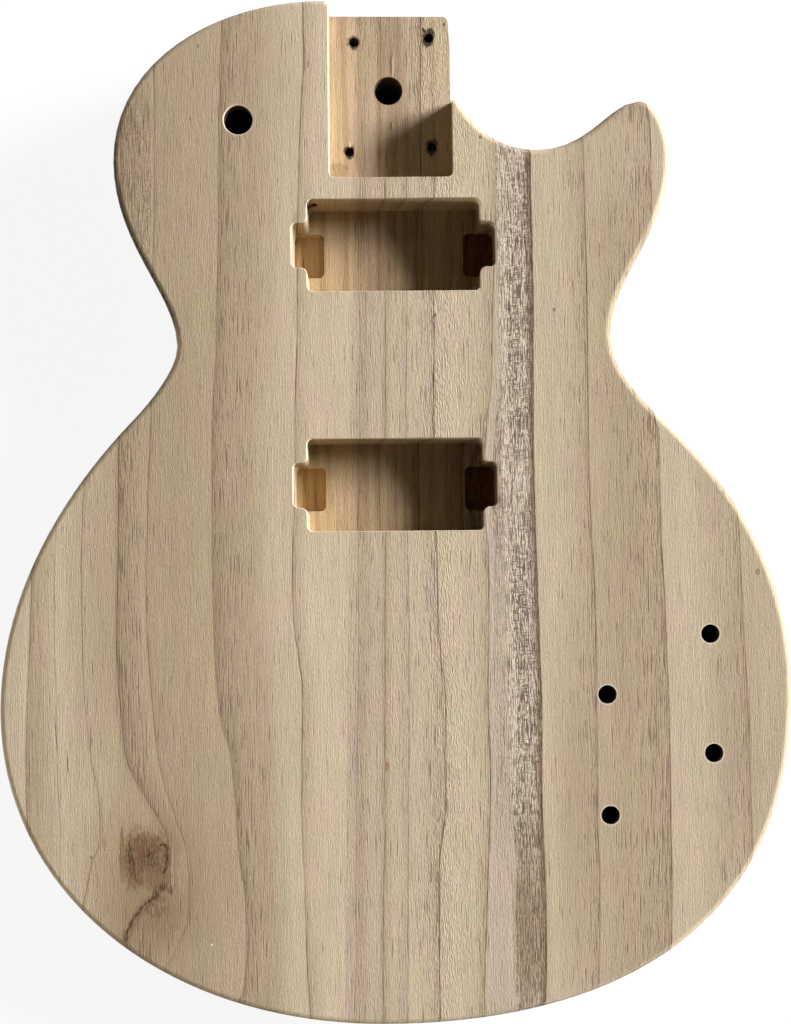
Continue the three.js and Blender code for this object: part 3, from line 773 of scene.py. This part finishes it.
def marks(g, board, place, ragged, mottle, colour):
    """Parts of knots, spots, holes, cracks and splinters, as ellipses that reach down from their depth."""
    for mark in board.marks:
        local = g.add("ShaderNodeMapping", {
            "Vector": place,
            "Location": (mark.x, mark.y, mark.depth),
            "Rotation": (0, 0, mark.turn),
            "Scale": (mark.width, mark.length, mark.reach),
        }, vector_type="TEXTURE").outputs[0]
        away = g.math("MULTIPLY_ADD", ragged, 1.2, g.length(local))
        mask = g.between(away, 1.2, 0.75, 0, mark.share, kind="SMOOTHSTEP")
        if mark.rough:
            mask = g.math("MULTIPLY", mask, g.between(mottle, 0.0, 1.0, 1.0 - mark.rough, 1.0))
        colour = g.mix(mask, colour, linear(mark.colour))
    return colour


def loops(g, board, x, y, ragged, strength, colour):
    """Rings round the heart of a knot."""
    for loop in board.loops:
        off_radius = g.math("SUBTRACT", g.distance(x, y, loop), loop.radius)
        off_line = g.math("ABSOLUTE", g.math("MULTIPLY_ADD", ragged, 4.0, off_radius))
        line = g.between(off_line, loop.width, loop.width / 3, 0, loop.share)
        colour = g.mix(g.product(line, strength), colour, linear(loop.colour))
    return colour


def strokes(g, board, x, y, ragged, strength, colour):
    """Cracks and dark edges of a knot."""
    for stroke in board.strokes:
        off_line = g.math("ABSOLUTE", g.math("SUBTRACT", x, g.curve(y, stroke.places)))
        off_line = g.math("MULTIPLY_ADD", ragged, 1.6 * stroke.width, off_line)
        along = g.around(y, stroke.places[0][0], stroke.places[-1][0], stroke.width)
        line = g.between(off_line, stroke.width, stroke.width / 3, 0, stroke.share)
        colour = g.mix(g.product(line, along, strength), colour, linear(stroke.colour))
    return colour


def scorch_and_shade(g, x, y, colour):
    """Burn marks and painted shade on the stretch of the rounded left edge that faces away from the window.
    """
    towards_left = g.math("MULTIPLY", g.normal("Normal")[0], -1.0)
    tilted = g.between(towards_left, 0.08, 0.5)
    stretch = g.around(y, SCORCH_AND_SHADE_BOTTOM, SCORCH_AND_SHADE_TOP, SCORCH_AND_SHADE_FADE)
    speckle = g.between(g.noise(SPECKLE, x, y), 0.3, 0.6, 0.55, 1.0)
    return g.mix(g.product(tilted, stretch, speckle, SCORCH_AND_SHADE_SHARE), colour, linear(SCORCH_AND_SHADE))


def drilled_holes():
    """The holes drilled from the front, and the neck's screw holes."""
    holes = []
    for name, radius in FRONT_HOLES:
        low, high = openings[name]
        holes.append(Hole((low[0] + high[0]) / 2 / MM, (low[1] + high[1]) / 2 / MM, radius, 0.0))
    for x, y in SCREW_PLACES:
        holes.append(Hole(x, y, SCREW_RADIUS, NECK_DEPTH))
    return holes


def drilled(g, x, y, depth, colour):
    """Painted shade on the walls of the drilled holes, and pale, torn fibres round those in the front."""
    for hole in drilled_holes():
        away = g.distance(x, y, hole)
        near = g.between(away, hole.radius + 0.3, hole.radius + 0.1)
        below = g.between(depth, hole.depth + 0.3, hole.depth + 1.5)
        colour = g.mix(g.product(near, below, HOLE_SHADE_SHARE), colour, linear(HOLE_SHADE))
        if hole.depth == 0:
            rim = g.between(away, hole.radius + HOLE_RIM_REACH, hole.radius)
            on_rim = g.product(rim, g.between(depth, *HOLE_RIM_DEPTHS), HOLE_RIM_SHARE)
            colour = g.mix(on_rim, colour, linear(SPLINTER_AND_HIGHLIGHT))
    return colour


def cut_faces(g, board, across, y, depth, colour):
    """Pale rims, striped floors, painted warm shade on the wood below the front and painted shade on the
    deeper pockets' floors, darker end grain and the router's lines.
    """
    normal = g.normal("True Normal")
    tilted = g.around(normal[2], 0.25, 0.8, 0.05)
    rim = g.product(tilted, g.between(depth, *RIM_DEPTHS), RIM_SHARE)
    colour = g.mix(rim, colour, linear(SPLINTER_AND_HIGHLIGHT))

    level = g.between(normal[2], 0.5, 0.9)
    stripes = g.between(g.noise(FLOOR_STRIPES, across, y), 0.45, 0.7)
    striped = g.product(stripes, level, g.between(depth, 12.0, 15.0), STRIPE_SHARE)
    colour = g.mix(striped, colour, linear(FLOOR_STRIPE))

    # Painted warm shade on the wood below the front, and painted shade on the deeper pockets' floors
    colour = g.mix(g.between(depth, 2.0, 9.0), colour, linear(board.deep), blend="MULTIPLY")
    pocket_floor_shade = g.math("MULTIPLY", level, g.between(depth, 17.0, 19.0))
    colour = g.mix(pocket_floor_shade, colour, linear(POCKET_FLOOR_SHADE), blend="MULTIPLY")
    end_grain = g.between(g.math("ABSOLUTE", normal[1]), 0.55, 0.9, 0.0, END_GRAIN_SHARE)
    colour = g.mix(end_grain, colour, linear(END_TINT), blend="MULTIPLY")

    upright = g.between(g.math("ABSOLUTE", normal[2]), 0.3, 0.1)
    milling = g.between(g.noise(MILLING, 0.0, depth), 0.4, 0.62, 0.0, MILLING_SHARE)
    return g.mix(g.math("MULTIPLY", upright, milling), colour, linear(UMBER))


def slots(g, x, y, depth, colour):
    """Painted light on the wood in the left leg slots, and painted shade on the wood in the right ones."""
    deep = g.around(depth, SLOTS_START + SLOT_FADE, SLOTS_END, SLOT_FADE)
    for name, (low, high) in openings.items():
        for ending, tint in SLOT_LIGHT_AND_SHADE:
            if name.endswith(ending):
                across = g.around(x, low[0] / MM - SLOT_MARGIN, high[0] / MM + SLOT_MARGIN, SLOT_EDGE)
                along = g.around(y, low[1] / MM - SLOT_MARGIN, high[1] / MM + SLOT_MARGIN, SLOT_EDGE)
                colour = g.mix(g.product(across, along, deep), colour, tint, blend="MULTIPLY")
    return colour


def glue():
    """A thin amber film with faint streaks."""
    g = Shader("dried_glue")
    x, y, z = coordinates(g)
    cloud = g.noise(GLUE_CLOUDS, x, y, z)
    colour = g.mix(g.between(cloud, 0.35, 0.65), linear(GLUE_LIGHT), linear(GLUE_DARK))
    return g.finish(colour, GLUE_ROUGHNESS, GLUE_GLOSS, cloud, GLUE_RELIEF)


def front_height():
    """The height of the boards' flat front, in millimetres."""
    return max(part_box(name)[1].z for name in BOARD_NODES) / MM


def neck_floor():
    """The height of the neck pocket's floor, in millimetres, just below its opening's box."""
    levels = [vertex.co.z for vertex in frame["nodes"]["centre_board"].data.vertices]
    return max(level for level in levels if level < openings["neck_pocket"][0][2]) / MM


def glue_surface(films):
    """A tree of the glue films' faces, to find the seams by."""
    points = []
    faces = []
    for name in films:
        data = frame["nodes"][name].data
        faces += [[len(points) + index for index in face.vertices] for face in data.polygons]
        points += [vertex.co.copy() for vertex in data.vertices]
    return BVHTree.FromPolygons(points, faces)


def close_seam(mesh, glue_tree):
    """Brings the board's glued side up to the film, as the clamps did."""
    for vertex in mesh.verts:
        nearest, _, _, distance = glue_tree.find_nearest(vertex.co, SEAM_GAP * MM)
        if nearest is not None and distance > 0:
            vertex.co = nearest.lerp(vertex.co, SEAM_LEFT_SHARE)


def in_neck(point, _):
    """Whether a rim at a point is the neck pocket's."""
    low, high = openings["neck_pocket"]
    reach = NECK_REACH * MM
    return all(low[k] - reach <= point[k] <= high[k] + reach for k in (0, 1))


def on_body(point, outward):
    """Whether a rim at a point is another one than the neck pocket's."""
    return not in_neck(point, outward)


def faces_right(_, outward):
    """Whether the wall below a rim faces right."""
    return outward.x > RIGHT_X


def faces_end(_, outward):
    """Whether the wall below a rim faces any other way."""
    return outward.x <= RIGHT_X


def rim_edges(mesh, height, glue_tree, choose):
    """Edges at a height where a cut wall meets a flat that faces the front, away from the glue."""
    found = []
    for edge in mesh.edges:
        if len(edge.link_faces) != 2:
            continue
        flat, wall = sorted(edge.link_faces, key=lambda face: -face.normal.z)
        if flat.normal.z < FLAT_Z or abs(wall.normal.z) > UPRIGHT_Z:
            continue
        middle = (edge.verts[0].co + edge.verts[1].co) / 2
        if abs(middle.z - height * MM) > MERGE_DISTANCE * MM or not edge.is_convex:
            continue
        if glue_tree.find_nearest(middle, SEAM_REACH * MM)[0] is not None:
            continue
        if choose(middle, wall.normal):
            found.append(edge)
    return found


def soften_rims(mesh, glue_tree, top):
    """Rounds the rims of the front, and those at the height of the neck pocket's floor, on the heel."""
    for height, choose, size in (
        (top, in_neck, NECK_RIM),
        (top, on_body, BODY_RIM),
        (neck_floor(), faces_end, HEEL_END_RIM),
        (neck_floor(), faces_right, HEEL_SIDE_RIM),
    ):
        edges = rim_edges(mesh, height, glue_tree, choose)
        bmesh.ops.bevel(
            mesh, geom=edges, offset=size * MM, segments=RIM_SEGMENTS, profile=0.5, affect="EDGES",
            clamp_overlap=True,
        )


def smooth_curves(mesh):
    """Smooth shading, with hard edges only where the surface turns sharply."""
    mesh.normal_update()
    for face in mesh.faces:
        face.smooth = True
    for edge in mesh.edges:
        edge.smooth = edge.is_manifold and edge.calc_face_angle(math.pi) < SMOOTH_ANGLE


def board_mesh(node, glue_tree, top):
    """The frame's mesh of a board with merged flats, closed seams, softened rims and smooth curves."""
    data = frame["nodes"][node].data.copy()
    mesh = bmesh.new()
    mesh.from_mesh(data)
    bmesh.ops.remove_doubles(mesh, verts=mesh.verts, dist=MERGE_DISTANCE * MM)
    bmesh.ops.dissolve_limit(mesh, angle_limit=FLAT_ANGLE, verts=mesh.verts, edges=mesh.edges)
    close_seam(mesh, glue_tree)
    mesh.normal_update()
    soften_rims(mesh, glue_tree, top)
    smooth_curves(mesh)
    mesh.to_mesh(data)
    mesh.free()
    return data


def board_piece(node, data, material):
    """A board as a piece of its own, in the place of the frame's one."""
    data.materials.clear()
    data.materials.append(material)
    piece = bpy.data.objects.new(node + "_wood", data)
    bpy.context.scene.collection.objects.link(piece)
    normals = piece.modifiers.new("normals", "WEIGHTED_NORMAL")
    normals.keep_sharp = True
    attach(piece, "root")
    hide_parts(node)


def film_piece(name, material):
    """A glue film of the frame's own, with a material."""
    film = frame["nodes"][name]
    film.data.materials.clear()
    film.data.materials.append(material)


def camera():
    """The photograph's view, from straight above the front, with the picture moved by the lens."""
    data = bpy.data.cameras.new("camera")
    data.sensor_width = SENSOR
    seen = FRONT_MM_PER_PX * PHOTO_HEIGHT_PX
    data.lens = SENSOR * CAMERA_ABOVE_FRONT / seen
    data.shift_x = PICTURE_MIDDLE_X / seen
    data.shift_y = (PICTURE_MIDDLE_Y - CAMERA_OVER_Y) / seen
    data.clip_end = CAMERA_SEES_M
    seat = bpy.data.objects.new("camera", data)
    seat.location = Vector((0, CAMERA_OVER_Y, front_height() + CAMERA_ABOVE_FRONT)) * MM
    seat.rotation_euler.z = CAMERA_TURN
    bpy.context.scene.collection.objects.link(seat)
    bpy.context.scene.camera = seat


def lamp(name, elevation, bearing, height_m, strength, colour):
    """A rectangle far off, whose strength is the light that falls on a surface square to it."""
    data = bpy.data.lights.new(name, "AREA")
    data.shape = "RECTANGLE"
    data.size = LAMP_WIDTH_M
    data.size_y = height_m
    data.energy = strength * math.pi * LAMP_DISTANCE_M ** 2
    data.color = colour
    stand = bpy.data.objects.new(name, data)
    level = math.cos(elevation)
    towards = Vector((level * math.cos(bearing), level * math.sin(bearing), math.sin(elevation)))
    stand.location = towards * LAMP_DISTANCE_M
    stand.rotation_euler = towards.to_track_quat("Z", "Y").to_euler()
    bpy.context.scene.collection.objects.link(stand)


def lamps():
    """The window and the reflector."""
    lamp("window", WINDOW_ELEVATION, WINDOW_BEARING, WINDOW_HEIGHT_M, WINDOW_STRENGTH, WINDOW_COLOUR)
    lamp(
        "reflector", REFLECTOR_ELEVATION, REFLECTOR_BEARING, REFLECTOR_HEIGHT_M, REFLECTOR_STRENGTH,
        REFLECTOR_COLOUR,
    )


def shown_directly(tree):
    """1 for what the camera sees itself, in a mirror or through glass, and 0 for what lights the object."""
    rays = tree.nodes.new("ShaderNodeLightPath").outputs
    last = rays["Is Camera Ray"]
    for name in ("Is Glossy Ray", "Is Transmission Ray"):
        either = tree.nodes.new("ShaderNodeMath")
        either.operation = "MAXIMUM"
        tree.links.new(last, either.inputs[0])
        tree.links.new(rays[name], either.inputs[1])
        last = either.outputs[0]
    return last


def fill():
    """A weak light from all round, strongest near the horizon, which the camera sees as white."""
    world = bpy.data.worlds.new("fill")
    world.use_nodes = True
    tree = world.node_tree
    seen = shown_directly(tree)
    direction = tree.nodes.new("ShaderNodeSeparateXYZ")
    tree.links.new(tree.nodes.new("ShaderNodeTexCoord").outputs["Generated"], direction.inputs[0])
    height = tree.nodes.new("ShaderNodeMapRange")
    tree.links.new(direction.outputs["Z"], height.inputs["Value"])
    height.inputs["From Max"].default_value = FILL_ENDS_AT
    height.inputs["To Min"].default_value = FILL_AT_HORIZON
    height.inputs["To Max"].default_value = FILL_OVERHEAD
    strength = tree.nodes.new("ShaderNodeMapRange")
    tree.links.new(seen, strength.inputs["Value"])
    tree.links.new(height.outputs[0], strength.inputs["To Min"])
    strength.inputs["To Max"].default_value = 1.0
    colour = tree.nodes.new("ShaderNodeMix")
    colour.data_type = "RGBA"
    tree.links.new(seen, colour.inputs[0])
    colour.inputs[6].default_value = FILL_COLOUR
    colour.inputs[7].default_value = WHITE
    background = tree.nodes["Background"]
    tree.links.new(colour.outputs[2], background.inputs["Color"])
    tree.links.new(strength.outputs[0], background.inputs["Strength"])
    bpy.context.scene.world = world


def floor_material():
    """Plain pale floor, seen as near white wherever the object's shadow doesn't fall."""
    g = Shader("pale_floor")
    seen = shown_directly(g.tree)
    surface = g.add("ShaderNodeBsdfDiffuse", {"Color": g.mix(seen, FLOOR_COLOUR, FLOOR_SHOWN_COLOUR)})
    glow = g.add("ShaderNodeEmission", {"Strength": g.math("MULTIPLY", seen, FLOOR_SHOWN_GLOW)})
    return g.output(g.add("ShaderNodeAddShader", {0: surface.outputs[0], 1: glow.outputs[0]}).outputs[0])


def shade_patch_material():
    """Painted shade: plain, nearly black floor."""
    g = Shader("painted_shade_under_body")
    return g.output(g.add("ShaderNodeBsdfDiffuse", {"Color": SHADE_PATCH_COLOUR}).outputs[0])


def plate(name, low, high, z, material):
    """A level rectangle of the stage between two corners."""
    data = bpy.data.meshes.new(name)
    corners = [(low[0], low[1]), (high[0], low[1]), (high[0], high[1]), (low[0], high[1])]
    data.from_pydata([Vector((x, y, z)) * MM for x, y in corners], [], [(0, 1, 2, 3)])
    data.materials.append(material)
    shape = bpy.data.objects.new(name, data)
    bpy.context.scene.collection.objects.link(shape)


def floor():
    """The floor, and patches of painted shade on it under the holes that go through the body."""
    half = FLOOR_SIZE / 2
    plate("floor", (-half, -half), (half, half), -FLOOR_DROP, floor_material())
    dark = shade_patch_material()
    for name, distance in SHADE_PATCH_REACHES:
        low, high = (Vector(corner) / MM for corner in openings[name])
        reach = Vector((distance, distance, 0))
        plate("painted_shade_under_" + name, low - reach, high + reach, -SHADE_PATCH_DROP, dark)


def build():
    """The boards, each with its own wood, and the glue films."""
    top = front_height()
    films = [name for name in frame["nodes"] if name.startswith("glue_line")]
    glue_tree = glue_surface(films)
    for node, board in zip(BOARD_NODES, (LEFT, CENTRE, RIGHT)):
        board_piece(node, board_mesh(node, glue_tree, top), wood(node + "_wood", board, top))
    film_material = glue()
    for name in films:
        film_piece(name, film_material)


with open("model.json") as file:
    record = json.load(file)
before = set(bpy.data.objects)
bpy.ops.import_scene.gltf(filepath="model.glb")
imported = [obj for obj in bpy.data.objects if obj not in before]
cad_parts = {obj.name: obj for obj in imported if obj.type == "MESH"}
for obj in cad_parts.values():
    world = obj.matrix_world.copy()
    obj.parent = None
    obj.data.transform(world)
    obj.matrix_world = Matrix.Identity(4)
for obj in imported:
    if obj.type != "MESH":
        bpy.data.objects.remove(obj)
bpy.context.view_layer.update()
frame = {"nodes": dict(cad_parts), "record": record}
openings = {opening["name"]: opening["box_m"] for opening in frame["record"]["physics"]["openings"]}
bpy.context.scene.view_settings.view_transform = "Standard"
camera()
lamps()
fill()
floor()
build()
